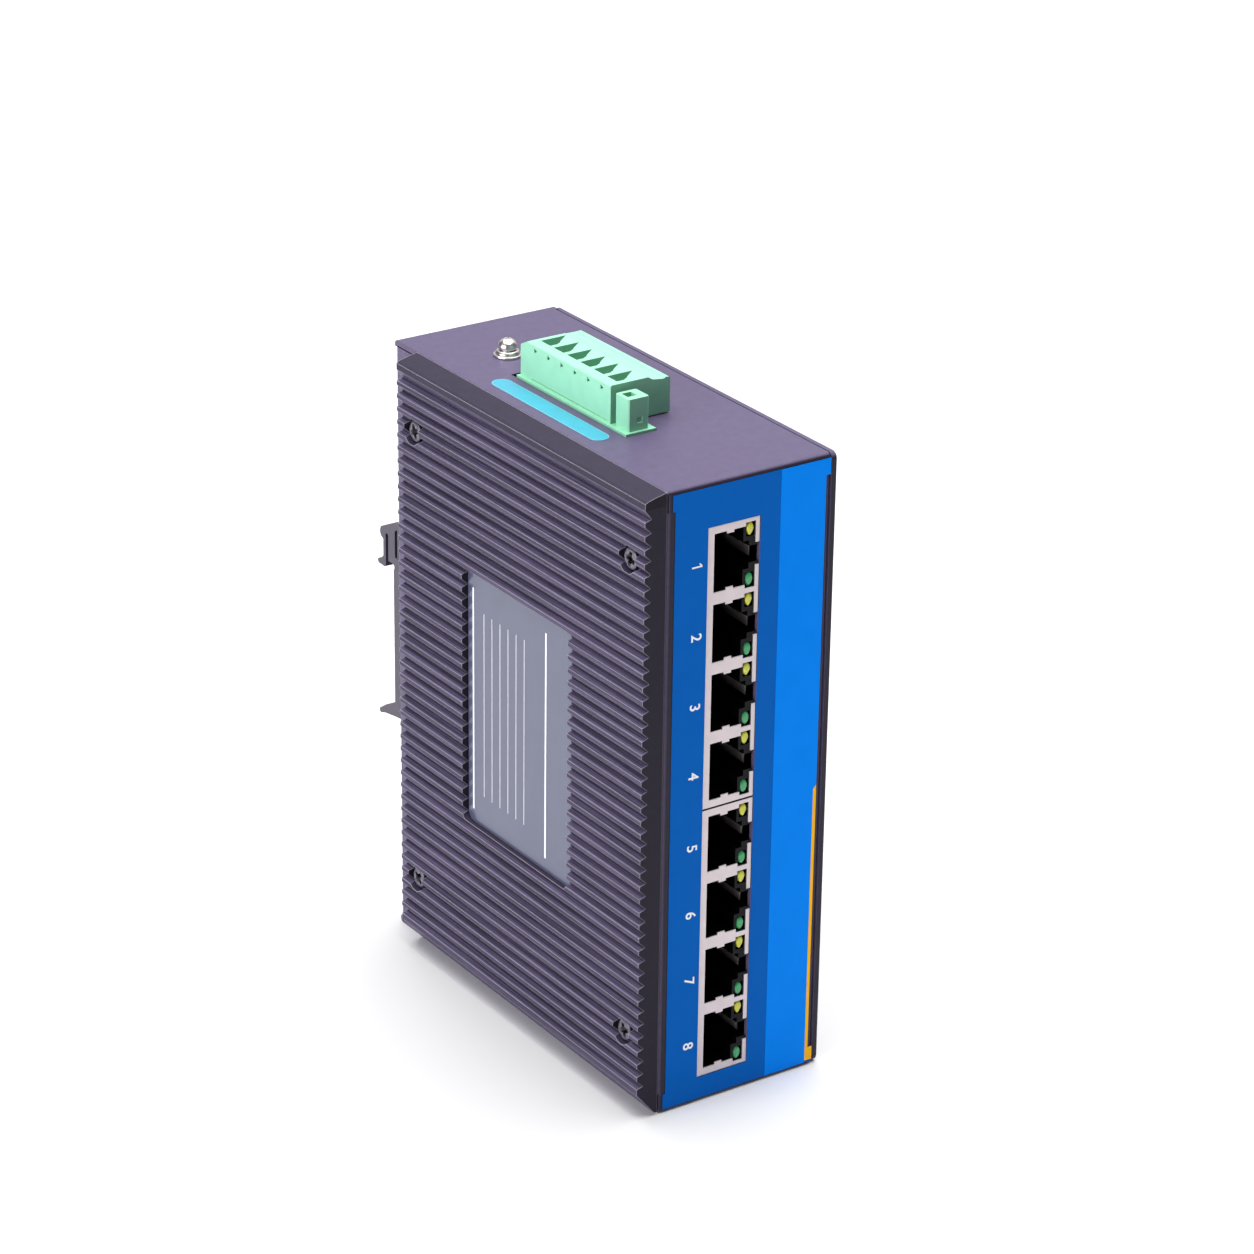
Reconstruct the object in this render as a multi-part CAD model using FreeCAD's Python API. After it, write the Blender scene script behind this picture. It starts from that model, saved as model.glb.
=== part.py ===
import FreeCAD, Part
import math
import os

os.makedirs("parts", exist_ok=True)

V = FreeCAD.Vector
LEFT = V(-1, 0, 0)
RIGHT = V(1, 0, 0)
FRONT = V(0, -1, 0)
BACK = V(0, 1, 0)
UP = V(0, 0, 1)
DOWN = V(0, 0, -1)

# Driving sizes in millimetres.
# The case stands upright. Its front, with the network sockets, faces -Y, the
# rail clip is at +Y, the finned side plate is at -X and the flat cover at +X.
# The origin is the middle of the case's bottom face.
case_width = 36.5
case_depth = 93.5
case_height = 127.6
sheet = 1.0
fold_radius = 0.8
front_fold_radius = 1.3
back_fold_radius = 1.1

fin_count = 44
fin_depth = 1.4
plate_thickness = 4.7
plate_length = case_depth - 8.3

cover_thickness = 1.3
port_pitch = 13.97
ports_per_block = 4
block_height = 56.4
block_width = 11.4
block_gap = 0.4
pole_count = 6
pole_pitch = 4.5
screw_radius = 1.5
fit = 0.15


def from_left(distance):
    """X of a point this far to the right of the case's left side."""
    return -case_width / 2 + distance


def from_front(distance):
    """Y of a point this far behind the case's front face."""
    return -case_depth / 2 + distance


def from_top(distance):
    """Z of a point this far below the case's top face."""
    return case_height - distance


def box(x0, x1, y0, y1, z0, z1):
    return Part.makeBox(x1 - x0, y1 - y0, z1 - z0, V(x0, y0, z0))


def polygon(points):
    return Part.Face(Part.makePolygon(points + [points[0]]))


def prism_y(outline, y0, y1):
    """A section drawn in X and Z, pulled along Y."""
    face = polygon([V(x, y0, z) for x, z in outline])
    return face.extrude(V(0, y1 - y0, 0))


def prism_x(outline, x0, x1):
    """A section drawn in Y and Z, pulled along X."""
    face = polygon([V(x0, y, z) for y, z in outline])
    return face.extrude(V(x1 - x0, 0, 0))


def prism_z(outline, z0, z1):
    """A section drawn in X and Y, pulled along Z."""
    face = polygon([V(x, y, z0) for x, y in outline])
    return face.extrude(V(0, 0, z1 - z0))


def rod(centre, radius, length, direction):
    return Part.makeCylinder(radius, length, centre, direction)


def turned(rings, centre, direction, sides=20):
    """A turned body with fine flats, from pairs of radius and height."""
    loops = []
    for radius, height in rings:
        loop = []
        for k in range(sides):
            turn = math.radians(360 * (k + 0.5) / sides)
            loop.append(V(radius * math.cos(turn), radius * math.sin(turn), height))
        loops.append(loop)
    faces = [polygon(loops[0]), polygon(loops[-1])]
    for low, high in zip(loops, loops[1:]):
        for k in range(sides):
            n = (k + 1) % sides
            faces.append(polygon([low[k], low[n], high[n], high[k]]))
    body = Part.makeSolid(Part.makeShell(faces))
    if body.Volume < 0:
        body.reverse()
    body.Placement = FreeCAD.Placement(centre, FreeCAD.Rotation(UP, direction))
    return body


def bar(centre, radius, length, direction, sides=8):
    """A many-sided bar. Shanks and the holes that heads hide are drawn with it."""
    return turned([(radius, 0), (radius, length)], centre, direction, sides)


def joined(shapes):
    whole = shapes[0].fuse(shapes[1:]) if len(shapes) > 1 else shapes[0]
    return whole.removeSplitter()


def group(shapes):
    """Separate solids that share one node."""
    return Part.makeCompound(shapes)


def rounded_slab_x(x0, x1, y0, y1, z0, z1, radius):
    """A slab lying in the Y-Z plane with four round corners."""
    slab = box(x0, x1, y0, y1, z0, z1)
    corners = [e for e in slab.Edges if along(e, RIGHT)]
    return slab.makeFillet(radius, corners)


def along(edge, direction):
    if not isinstance(edge.Curve, Part.Line):
        return False
    return abs(edge.Curve.Direction.dot(direction)) > 0.999


def save(shape, name):
    shape.exportStep("parts/" + name + ".step")


case_left = from_left(0)
case_right = from_left(case_width)
case_front = from_front(0)
case_back = from_front(case_depth)

# CASE SHEET
# One steel sheet is folded into a ring: front, top, back and bottom. The
# bottom ends in a short lip that is welded to the inside of the back. Front
# and back have a flange on each side to carry the side plates. On the front
# the flanges stop short of the corners and leave flat tabs there. The tabs and
# the top are cut a little narrower than the case.
tab_bottom = 4.15
tab_top = from_top(4.3)
tab_inset = 0.55
front_flange = 11.0
back_flange_left = 18.6
back_flange_right = 11.0
back_flange_bottom = 1.3
back_flange_top = from_top(1.3)
weld_lip = 8.0

outer = box(case_left, case_right, case_front, case_back, 0, case_height)
outer_folds = [e for e in outer.Edges if along(e, RIGHT)]
outer = outer.makeFillet(fold_radius, outer_folds)
inner = box(
    case_left - 1,
    case_right + 1,
    case_front + sheet,
    case_back - sheet,
    sheet,
    case_height - sheet,
)
ring = outer.cut(inner)
lip = box(
    case_left,
    case_right,
    case_back - 2 * sheet,
    case_back - sheet,
    sheet,
    sheet + weld_lip,
)
seam = box(
    case_left - 1,
    case_right + 1,
    case_back - sheet,
    case_back - sheet + 0.2,
    -1,
    sheet,
)
ring = ring.cut(seam)


def flange(side, y_face, r_out, width, inward, z0, z1):
    """A side flange with its round fold, drawn in X and Y."""
    x_out = case_left if side < 0 else case_right
    r_in = r_out - sheet
    x_centre = x_out - side * r_out
    y_centre = y_face + inward * r_out
    a = V(x_centre, y_face, z0)
    b = V(x_out, y_centre, z0)
    c = V(x_out, y_face + inward * width, z0)
    d = V(x_out - side * sheet, y_face + inward * width, z0)
    e = V(x_out - side * sheet, y_centre, z0)
    f = V(x_centre, y_face + inward * sheet, z0)
    diag = math.sqrt(0.5)
    mid_out = V(x_centre + side * r_out * diag, y_centre - inward * r_out * diag, z0)
    mid_in = V(x_centre + side * r_in * diag, y_centre - inward * r_in * diag, z0)
    edges = [
        Part.Arc(a, mid_out, b).toShape(),
        Part.makeLine(b, c),
        Part.makeLine(c, d),
        Part.makeLine(d, e),
        Part.Arc(e, mid_in, f).toShape(),
        Part.makeLine(f, a),
    ]
    return Part.Face(Part.Wire(edges)).extrude(V(0, 0, z1 - z0))


def side_notch(side, y_face, r_out, inward, z0, z1):
    """The strip of front or back sheet that the fold replaces."""
    x_out = case_left if side < 0 else case_right
    x_in = x_out - side * r_out
    x0, x1 = sorted((x_out + side, x_in))
    y0, y1 = sorted((y_face - inward, y_face + inward * sheet))
    return box(x0, x1, y0, y1, z0, z1)


case_sheet = ring.fuse(lip)
cuts = []
flanges = []
for side, back_width in ((-1, back_flange_left), (1, back_flange_right)):
    x_out = case_left if side < 0 else case_right
    front_fold = (side, case_front, front_fold_radius)
    back_fold = (side, case_back, back_fold_radius)
    cuts.append(side_notch(*front_fold, 1, tab_bottom, tab_top))
    cuts.append(side_notch(*back_fold, -1, back_flange_bottom, back_flange_top))
    x0, x1 = sorted((x_out + side, x_out - side * tab_inset))
    cuts.append(box(x0, x1, case_front - 1, case_front + sheet, -1, from_top(fold_radius)))
    flanges.append(flange(*front_fold, front_flange, 1, tab_bottom, tab_top))
    flanges.append(flange(*back_fold, back_width, -1, back_flange_bottom, back_flange_top))
top_trim = box(
    case_right - tab_inset,
    case_right + 1,
    case_front - 1,
    case_back - 2 * sheet,
    from_top(sheet),
    from_top(-1),
)
case_sheet = case_sheet.cut(cuts).cut(top_trim).fuse(flanges)

# One tall window in the front takes both socket blocks.
block_left = from_left(9.2)
block_right = block_left + block_width
block_bottoms = {"lower": 5.4, "upper": 5.4 + block_height + block_gap}
window = box(
    block_left - fit,
    block_right + fit,
    case_front - 1,
    case_front + sheet + 1,
    block_bottoms["lower"] - fit,
    block_bottoms["upper"] + block_height + fit,
)
case_sheet = case_sheet.cut(window)

# The top has an opening for the green terminal header and an earth screw hole.
header_left = from_left(8.8)
header_right = from_left(15.5)
header_front = from_front(case_depth * 0.28)
header_back = header_front + 37.2
header_opening = box(
    header_left - 0.2,
    header_right + 0.2,
    header_front - 0.2,
    header_back + 1.6,
    from_top(2),
    from_top(-1),
)
earth_x = from_left(13.7)
earth_y = from_front(case_depth - 19.3)
clear_radius = screw_radius + fit
earth_hole = bar(V(earth_x, earth_y, from_top(3)), clear_radius, 5, UP)
case_sheet = case_sheet.cut([header_opening, earth_hole])

# Screw places: four for the finned plate, four for the cover, two for the clip.
plate_screw_y = [from_front(5.7), from_front(plate_length - 5.2)]
plate_screw_z = [16.9, from_top(14.0)]
cover_screw_y = [from_front(6.0), from_front(case_depth - 6.0)]
cover_screw_z = [17.0, from_top(17.0)]
clip_screw_x = [case_left + case_width * 0.28, case_left + case_width * 0.72]
rail_z = case_height / 2 + 3.05
clip_screw_z = rail_z - 2.85
holes = []
for z in plate_screw_z:
    for y in plate_screw_y:
        holes.append(bar(V(case_left - 1, y, z), clear_radius, 3, RIGHT))
for z in cover_screw_z:
    for y in cover_screw_y:
        holes.append(bar(V(case_right - 2, y, z), clear_radius, 3, RIGHT))
for x in clip_screw_x:
    holes.append(bar(V(x, case_back - 2, clip_screw_z), clear_radius, 3, BACK))
case_sheet = case_sheet.cut(holes).removeSplitter()
save(case_sheet, "case_sheet")

# FINNED SIDE PLATE
# An aluminium extrusion: a flat back, forty-four sawtooth grooves running from
# front to back, a gently falling shoulder above and a steep one below.
plate_out = case_left - plate_thickness
plate_root = plate_out + fin_depth
top_root_z = from_top(4.5)
bottom_root_z = 7.3
fin_pitch = (top_root_z - bottom_root_z) / (fin_count - 1)
fin_slope = 1.3
fin_undercut = 0.45
outline = [
    (case_left, from_top(0.1)),
    (case_left - 2.6, from_top(0.65)),
    (case_left - 4.1, from_top(1.05)),
    (plate_out, from_top(1.4)),
]
for i in range(fin_count):
    root_z = top_root_z - i * fin_pitch
    land_low = root_z + fin_pitch - fin_slope
    outline.append((plate_out, land_low if i else root_z + 1.85))
    outline.append((plate_root, root_z))
    outline.append((plate_out, root_z - fin_undercut))
outline.append((plate_out, bottom_root_z - 1.6))
outline.append((case_left - 0.85, 1.0))
outline.append((case_left - 0.35, 0.6))
outline.append((case_left, 0.6))
plate = prism_y(outline, case_front, case_front + plate_length)

# A shallow pocket with round corners is milled through the fins for the
# rating label, and four counterbores take the fixing screws.
pocket_front = from_front(24.8)
pocket_back = from_front(plate_length - 23.4)
pocket_bottom = 38.0
pocket_top = from_top(35.5)
pocket_floor = plate_root + 0.1
pocket = rounded_slab_x(
    plate_out - 1, pocket_floor, pocket_front, pocket_back, pocket_bottom, pocket_top, 2.0
)
plate = plate.cut(pocket)
bore_radius = 2.65
bore_depth = 1.8
bore_floor = plate_out + bore_depth
spacer_y = [from_front(plate_length - 41.2), from_front(plate_length - 16.7)]
spacer_z = [26.0, from_top(23.6)]
cuts = []
for z in plate_screw_z:
    for y in plate_screw_y:
        cuts.append(rod(V(plate_out - 1, y, z), bore_radius, bore_depth + 1, RIGHT))
        cuts.append(bar(V(plate_out, y, z), clear_radius, 9, RIGHT))
for z in spacer_z:
    for y in spacer_y:
        cuts.append(bar(V(case_left - 2.4, y, z), screw_radius, 4, RIGHT))
plate = plate.cut(cuts)
save(plate, "heat_sink")


def pan_screw(face, direction, head_radius, head_height, shank):
    """A screw with a low crown. The crown is at the given point."""
    down = direction * -1
    rim = head_height * 0.4
    rings = [(head_radius * 0.62, 0), (head_radius, rim), (head_radius, head_height)]
    head = turned(rings, face, down)
    body = bar(face + down * head_height, screw_radius, shank, down)
    return joined([head, body])


def flat_screw(face, direction, head_radius, head_height, shank):
    """A countersunk screw whose flat face lies at the given point."""
    down = direction * -1
    head = turned([(head_radius, 0), (screw_radius, head_height)], face, down)
    body = bar(face + down * head_height, screw_radius - 0.02, shank, down)
    return joined([head, body])


def press_nut(face, direction):
    """A hexagonal nut pressed into the inside of the sheet."""
    body = bar(face, nut_radius, nut_height, direction, 6)
    return body.cut(bar(face, screw_radius, nut_height, direction))


head_height = 1.65
nut_height = 2.6
nut_radius = 2.8
screws = []
nuts = []
for z in plate_screw_z:
    for y in plate_screw_y:
        crown = V(bore_floor - head_height, y, z)
        screws.append(pan_screw(crown, LEFT, bore_radius - 0.3, head_height, 6.5))
        nuts.append(press_nut(V(case_left + sheet, y, z), RIGHT))
save(group(screws), "heat_sink_screws")
save(group(nuts), "heat_sink_nuts")

# RIGHT COVER
# A flat sheet with round corners, held by four countersunk screws.
cover_out = case_right + cover_thickness
cover = rounded_slab_x(
    case_right, cover_out, case_front, case_back, 0.1, from_top(0.2), 1.4
)
rim_edges = []
for edge in cover.Edges:
    middle = edge.CenterOfMass
    if abs(middle.x - cover_out) < 0.01:
        rim_edges.append(edge)
cover = cover.makeChamfer(0.3, rim_edges)
sink_radius = 2.8
sink_depth = 1.1
screws = []
nuts = []
for z in cover_screw_z:
    for y in cover_screw_y:
        face = V(cover_out, y, z)
        cover = cover.cut(turned([(sink_radius, 0), (clear_radius, sink_depth)], face, LEFT))
        cover = cover.cut(bar(face, clear_radius, 3, LEFT))
        screws.append(flat_screw(face, RIGHT, sink_radius - fit, sink_depth, 4.2))
        nuts.append(press_nut(V(case_right - sheet, y, z), LEFT))
save(cover, "right_cover")
save(group(screws), "cover_screws")
save(group(nuts), "cover_nuts")

# FRONT LABEL
# A printed film with the front panel's own outline, so it steps in between the
# corner tabs. The right part is a lighter blue and an orange stripe runs up
# its lower right edge. The two fields of colour lie on the film.
film = 0.15
ink = 0.04
film_front = case_front - film
ink_front = film_front - ink
label_left = from_left(1.3)
label_right = case_right - 0.3
waist_left = from_left(1.85)
waist_right = case_right - front_fold_radius
waist_bottom = tab_bottom - 0.15
waist_top = tab_top + 0.1
label_bottom = fold_radius
label_top = from_top(fold_radius + 0.2)
label_outline = [
    (label_left, label_bottom),
    (label_right, label_bottom),
    (label_right, waist_bottom),
    (waist_right, waist_bottom),
    (waist_right, waist_top),
    (label_right, waist_top),
    (label_right, label_top),
    (label_left, label_top),
    (label_left, waist_top),
    (waist_left, waist_top),
    (waist_left, waist_bottom),
    (label_left, waist_bottom),
]
film_sheet = prism_y(label_outline, film_front, case_front)
film_window = box(
    block_left - fit,
    block_right + fit,
    case_front - 1,
    case_front + 1,
    block_bottoms["lower"] - fit,
    block_bottoms["upper"] + block_height + fit,
)
save(film_sheet.cut(film_window), "front_label")

split = case_right - 11.45
stripe_left = case_right - 2.0
stripe_top = block_bottoms["upper"] - 1.6
stripe_bottom = label_bottom + 0.4
light_outline = [
    (split, label_bottom),
    (stripe_left, label_bottom),
    (stripe_left, stripe_top - 0.7),
    (waist_right, stripe_top),
    (waist_right, waist_top),
    (label_right, waist_top),
    (label_right, label_top),
    (split, label_top),
]
save(prism_y(light_outline, ink_front, film_front), "light_blue_field")
stripe_outline = [
    (stripe_left, stripe_bottom),
    (label_right, stripe_bottom),
    (label_right, waist_bottom),
    (waist_right, waist_bottom),
    (waist_right, stripe_top),
    (stripe_left, stripe_top - 0.7),
]
save(prism_y(stripe_outline, ink_front, film_front), "orange_stripe")

# RATING LABEL
# A glossy grey plate glued into the pocket, with two white rules and a ruled
# table. Its lines are thin ink.
label_gap = 0.35
label_face = pocket_floor - 0.2
rating = rounded_slab_x(
    label_face,
    pocket_floor,
    pocket_front + label_gap,
    pocket_back - label_gap,
    pocket_bottom + label_gap,
    pocket_top - label_gap,
    1.7,
)
save(rating, "rating_label")
rule_bottom = pocket_bottom + 3.0
rule_top = pocket_top - 3.9
table_bottom = pocket_bottom + 7.0
table_top = pocket_top - 8.1
rules = []
for y in (pocket_front + 9.2, pocket_back - 2.2):
    rules.append(box(label_face - ink, label_face, y - 0.25, y + 0.25, rule_bottom, rule_top))
for i in range(6):
    y = pocket_front + 16.7 + i * 2.85
    rules.append(box(label_face - ink, label_face, y - 0.08, y + 0.08, table_bottom, table_top))
save(group(rules), "rating_label_lines")

# TERMINAL LABEL
# A pale blue sticker with round ends beside the terminal block.
pill_left = from_left(2.6)
pill_right = from_left(6.5)
pill_front = header_front + 0.8
pill_back = pill_front + 36.8
pill = box(pill_left, pill_right, pill_front, pill_back, case_height, case_height + film)
pill = pill.makeFillet(1.9, [e for e in pill.Edges if along(e, UP)])
save(pill, "terminal_label")

# SOCKET BLOCKS
# Each block has four sockets one above the other in a stamped steel shield.
# The latch side is to the right, where two small lamps flank each latch slot.
shield_sheet = 0.25
shield_front = case_front + 0.05
shield_back = shield_front + 21.5
plug_left = block_left + 1.35
plug_right = block_left + 7.95
lamp_left = block_left + 8.3
lamp_right = block_left + 10.55
half_plug = 5.8
half_lamp_window = 6.5
half_latch_gap = 2.2
half_step = 2.75
half_latch = 1.65
finger_left = block_left + 4.1
finger_right = block_left + 5.7
finger_depth = 0.48
plug_depth = 13.5
lamp_x = block_left + 9.45
lamp_z = {"yellow": 5.0, "green": -4.95}
lamp_half_x = 0.9
lamp_half_z = 1.38
lamp_front = shield_front + 0.1
lamp_back = lamp_front + 7.0
contact_pitch = 1.02
contact_width = 0.4


def lamp(z):
    """A light guide with an oval front."""
    outline = []
    for k in range(12):
        turn = math.radians(30 * (k + 0.5))
        outline.append((lamp_x + lamp_half_x * math.cos(turn), z + lamp_half_z * math.sin(turn)))
    return prism_y(outline, lamp_front, lamp_back)


def lamp_seat(z):
    """The square hole in the housing that takes one light guide."""
    x0 = lamp_x - lamp_half_x
    x1 = lamp_x + lamp_half_x
    return box(x0, x1, shield_front, lamp_back, z - lamp_half_z, z + lamp_half_z)


for place, bottom in block_bottoms.items():
    top = bottom + block_height
    middle = bottom + block_height / 2
    centres = []
    for i in range(ports_per_block):
        offset = (ports_per_block - 1) / 2 - i
        centres.append(middle + offset * port_pitch)

    shell = box(block_left, block_right, shield_front, shield_back, bottom, top)
    hollow = box(
        block_left + shield_sheet,
        block_right - shield_sheet,
        shield_front + shield_sheet,
        shield_back + 1,
        bottom + shield_sheet,
        top - shield_sheet,
    )
    shell = shell.cut(hollow)
    windows = []
    fingers = []
    for z in centres:
        windows.append(
            box(plug_left, lamp_left, shield_front - 1, shield_front + 1, z - half_plug, z + half_plug)
        )
        windows.append(
            box(
                lamp_left,
                lamp_right,
                shield_front - 1,
                shield_front + 1,
                z - half_lamp_window,
                z + half_lamp_window,
            )
        )
        windows.append(
            box(
                lamp_right,
                block_right + 1,
                shield_front - 1,
                shield_front + 3.0,
                z - half_latch_gap,
                z + half_latch_gap,
            )
        )
        for side in (-1, 1):
            z0, z1 = sorted((z + side * half_plug, z + side * (half_plug - finger_depth)))
            fingers.append(
                box(finger_left, finger_right, shield_front, shield_front + shield_sheet, z0, z1)
            )
    shell = shell.cut(windows).fuse(fingers).removeSplitter()
    save(shell, "jack_shield_" + place)

    housing = box(
        block_left + shield_sheet,
        block_right - shield_sheet,
        shield_front + shield_sheet,
        shield_back - 0.5,
        bottom + shield_sheet,
        top - shield_sheet,
    )
    y0 = shield_front
    y1 = shield_front + plug_depth
    hollows = []
    lamps = {"yellow": [], "green": []}
    contacts = []
    wire = [
        (block_left + shield_sheet, y1),
        (plug_left + 0.1, y1),
        (plug_left + 2.0, y1 - 9.4),
        (plug_left + 1.6, y1 - 9.6),
        (plug_left - 0.3, y1 - 0.4),
        (block_left + shield_sheet, y1 - 0.4),
    ]
    for z in centres:
        hollows.append(box(plug_left - 0.1, plug_right, y0, y1, z - half_plug - 0.05, z + half_plug + 0.05))
        hollows.append(box(plug_right, plug_right + 1.3, y0, y1, z - half_step, z + half_step))
        hollows.append(
            box(plug_right + 1.3, block_right - shield_sheet, y0, y1 - 2, z - half_latch, z + half_latch)
        )
        for colour, offset in lamp_z.items():
            lamps[colour].append(lamp(z + offset))
            hollows.append(lamp_seat(z + offset))
        comb = (8 * contact_pitch) / 2
        hollows.append(prism_z(wire, z - comb, z + comb))
        for n in range(8):
            zc = z + (n - 3.5) * contact_pitch
            contacts.append(prism_z(wire, zc - contact_width / 2, zc + contact_width / 2))
    housing = housing.cut(hollows).removeSplitter()
    save(housing, "jack_housing_" + place)
    save(group(lamps["yellow"]), "yellow_lamps_" + place)
    save(group(lamps["green"]), "green_lamps_" + place)
    save(group(contacts), "jack_contacts_" + place)

# CIRCUIT BOARD
# The board stands upright behind the sockets, which are soldered to its right
# side. It is held on four spacers screwed into the finned plate.
board_thickness = 1.6
board_right = block_left
board_left = board_right - board_thickness
board_front = from_front(3.0)
board_back = from_front(case_depth - 9.5)
board_bottom = 6.0
board_top = from_top(7.1)
board = box(board_left, board_right, board_front, board_back, board_bottom, board_top)
spacers = []
screws = []
spacer_radius = 2.75
for z in spacer_z:
    for y in spacer_y:
        board = board.cut(bar(V(board_left - 1, y, z), clear_radius, 4, RIGHT))
        post = bar(V(case_left, y, z), spacer_radius, board_left - case_left, RIGHT, 6)
        post = post.cut(bar(V(board_left - 4.0, y, z), screw_radius, 5, RIGHT))
        stud = bar(V(case_left - 2.2, y, z), screw_radius, 2.2, RIGHT)
        spacers.append(post.fuse(stud))
        head = bar(V(board_right, y, z), 2.6, 1.6, RIGHT, 6)
        shank = bar(V(board_left - 3.0, y, z), screw_radius, board_thickness + 3.0, RIGHT)
        screws.append(head.fuse(shank))

plug_front = header_front + 6.1
plug_back = plug_front + 30.6
pin = 0.9
pin_hole = pin / 2 + 0.1
pin_z = from_top(13.6)
pin_y = []
for i in range(pole_count):
    pin_y.append(plug_front + 2.9 + i * pole_pitch)
for y in pin_y:
    hole = (y - pin_hole, y + pin_hole, pin_z - pin_hole, pin_z + pin_hole)
    board = board.cut(box(board_left - 1, board_right + 1, *hole))
save(board, "circuit_board")
save(group(spacers), "board_spacers")
save(group(screws), "board_screws")

# The switching chip is on the board's left side. An aluminium block and a soft
# pad carry its heat to the finned plate.
chip_y = (pocket_front + pocket_back) / 2 + 3.7
chip_z = case_height / 2 - 1.8
chip_height = 1.5
pad_thickness = 0.6
chip = box(board_left - chip_height, board_left, chip_y - 10, chip_y + 10, chip_z - 10, chip_z + 10)
save(chip.makeChamfer(0.3, [e for e in chip.Edges if abs(e.CenterOfMass.x - board_left + chip_height) < 0.01]), "switch_chip")
pad_left = board_left - chip_height - pad_thickness
pad = box(pad_left, board_left - chip_height, chip_y - 9, chip_y + 9, chip_z - 9, chip_z + 9)
save(pad, "thermal_pad")
heat_block = box(case_left, pad_left, chip_y - 12, chip_y + 12, chip_z - 12, chip_z + 12)
heat_block = heat_block.makeChamfer(0.8, [e for e in heat_block.Edges if along(e, RIGHT)])
save(heat_block, "heat_block")

# Parts on the board's right side, behind the sockets.
module_front = shield_back + 3.5
transformers = []
for bottom in block_bottoms.values():
    for step in (-18, 10):
        z = bottom + block_height / 2 + step
        module = box(board_right, board_right + 5.6, module_front, module_front + 13, z - 8, z + 8)
        transformers.append(module)
save(group(transformers), "line_transformers")

power_front = module_front + 25.5
capacitors = []
for y, depth in ((0, 17.5), (9.2, 17.5), (0, 28.5)):
    foot = V(board_right, power_front + 0.7 + y, board_top - depth)
    capacitors.append(bar(foot, 4.0, 10.5, RIGHT, 12))
save(group(capacitors), "capacitors")
coil_z = board_top - 32.5
coil = box(board_right, board_right + 6.0, power_front + 7.5, power_front + 19.5, coil_z - 6, coil_z + 6)
save(coil.makeChamfer(1.6, [e for e in coil.Edges if along(e, RIGHT)]), "power_inductor")
regulator_y = power_front + 23.5
regulator = box(board_right, board_right + 1.8, regulator_y, regulator_y + 5, coil_z - 4, coil_z + 2.2)
save(regulator, "power_chip")
crystal_z = chip_z - 19.7
crystal = box(board_right, board_right + 3.6, chip_y - 2, chip_y + 9, crystal_z - 2.3, crystal_z + 2.3)
save(crystal.makeChamfer(1.6, [e for e in crystal.Edges if along(e, RIGHT)]), "crystal")
memory_z = chip_z - 31.5
memory = box(board_right, board_right + 1.7, chip_y + 5, chip_y + 10, memory_z - 2.5, memory_z + 2.5)
save(memory, "memory_chip")
disc_y = power_front + 25.5
disc_z = board_top - 14.0
surge_disc = bar(V(board_right + 5.0, disc_y, disc_z), 4.6, 2.6, BACK, 12)
for side in (-1, 1):
    leg_z = disc_z + side * 2.5
    leg = box(board_right, board_right + 3.0, disc_y + 0.9, disc_y + 1.7, leg_z - 0.4, leg_z + 0.4)
    surge_disc = surge_disc.fuse(leg)
save(surge_disc.removeSplitter(), "surge_disc")

# TERMINAL HEADER
# The green header is soldered to the board's top edge and comes up through the
# case. Its lip stands just above the sheet and carries a small tower in front.
lip_top = from_top(-0.45)
header_bottom = from_top(16.1)
header_body = box(
    board_right,
    header_right - 0.3,
    header_front + 0.3,
    header_back - 0.3,
    header_bottom,
    case_height,
)
header_lip = box(header_left, header_right, header_front, header_back, from_top(0.6), lip_top)
tower_left = from_left(9.75)
tower_right = from_left(14.3)
tower_front = header_front + 0.7
tower_back = header_front + 5.05
tower_top = from_top(-6.8)
tower = box(tower_left, tower_right, tower_front, tower_back, lip_top, tower_top)
tower_edges = [e for e in tower.Edges if along(e, UP)]
tower = tower.makeChamfer(0.25, tower_edges)
tower_hole = box(
    tower_left + 0.8,
    tower_left + 2.9,
    tower_front + 1.5,
    tower_front + 3.5,
    tower_top - 4,
    tower_top + 1,
)
tower_mark = box(
    tower_left + 1.9,
    tower_left + 3.1,
    tower_front - 1,
    tower_front + 0.2,
    tower_top - 4.9,
    tower_top - 3.8,
)
nose_left = board_right + 1.3
nose_right = header_right - 1.3
nose_bottom = header_bottom + 6.0
nose_front = plug_front + 0.5
nose_back = plug_back - 0.8
mouth = box(
    nose_left - fit,
    nose_right + fit,
    nose_front - fit,
    nose_back + fit,
    nose_bottom - 0.3,
    lip_top + 1,
)
header = header_body.fuse([header_lip, tower])
header = header.cut([tower_hole, tower_mark, mouth]).removeSplitter()
pins = []
for y in pin_y:
    upright = (nose_left + nose_right) / 2
    bent = [
        (board_left - 0.9, pin_z - pin / 2),
        (upright + pin / 2, pin_z - pin / 2),
        (upright + pin / 2, nose_bottom + 6.5),
        (upright - pin / 2, nose_bottom + 6.5),
        (upright - pin / 2, pin_z + pin / 2),
        (board_left - 0.9, pin_z + pin / 2),
    ]
    pins.append(prism_y(bent, y - pin / 2, y + pin / 2))
header = header.cut(pins)
save(header, "terminal_header")
save(group(pins), "header_pins")

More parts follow.
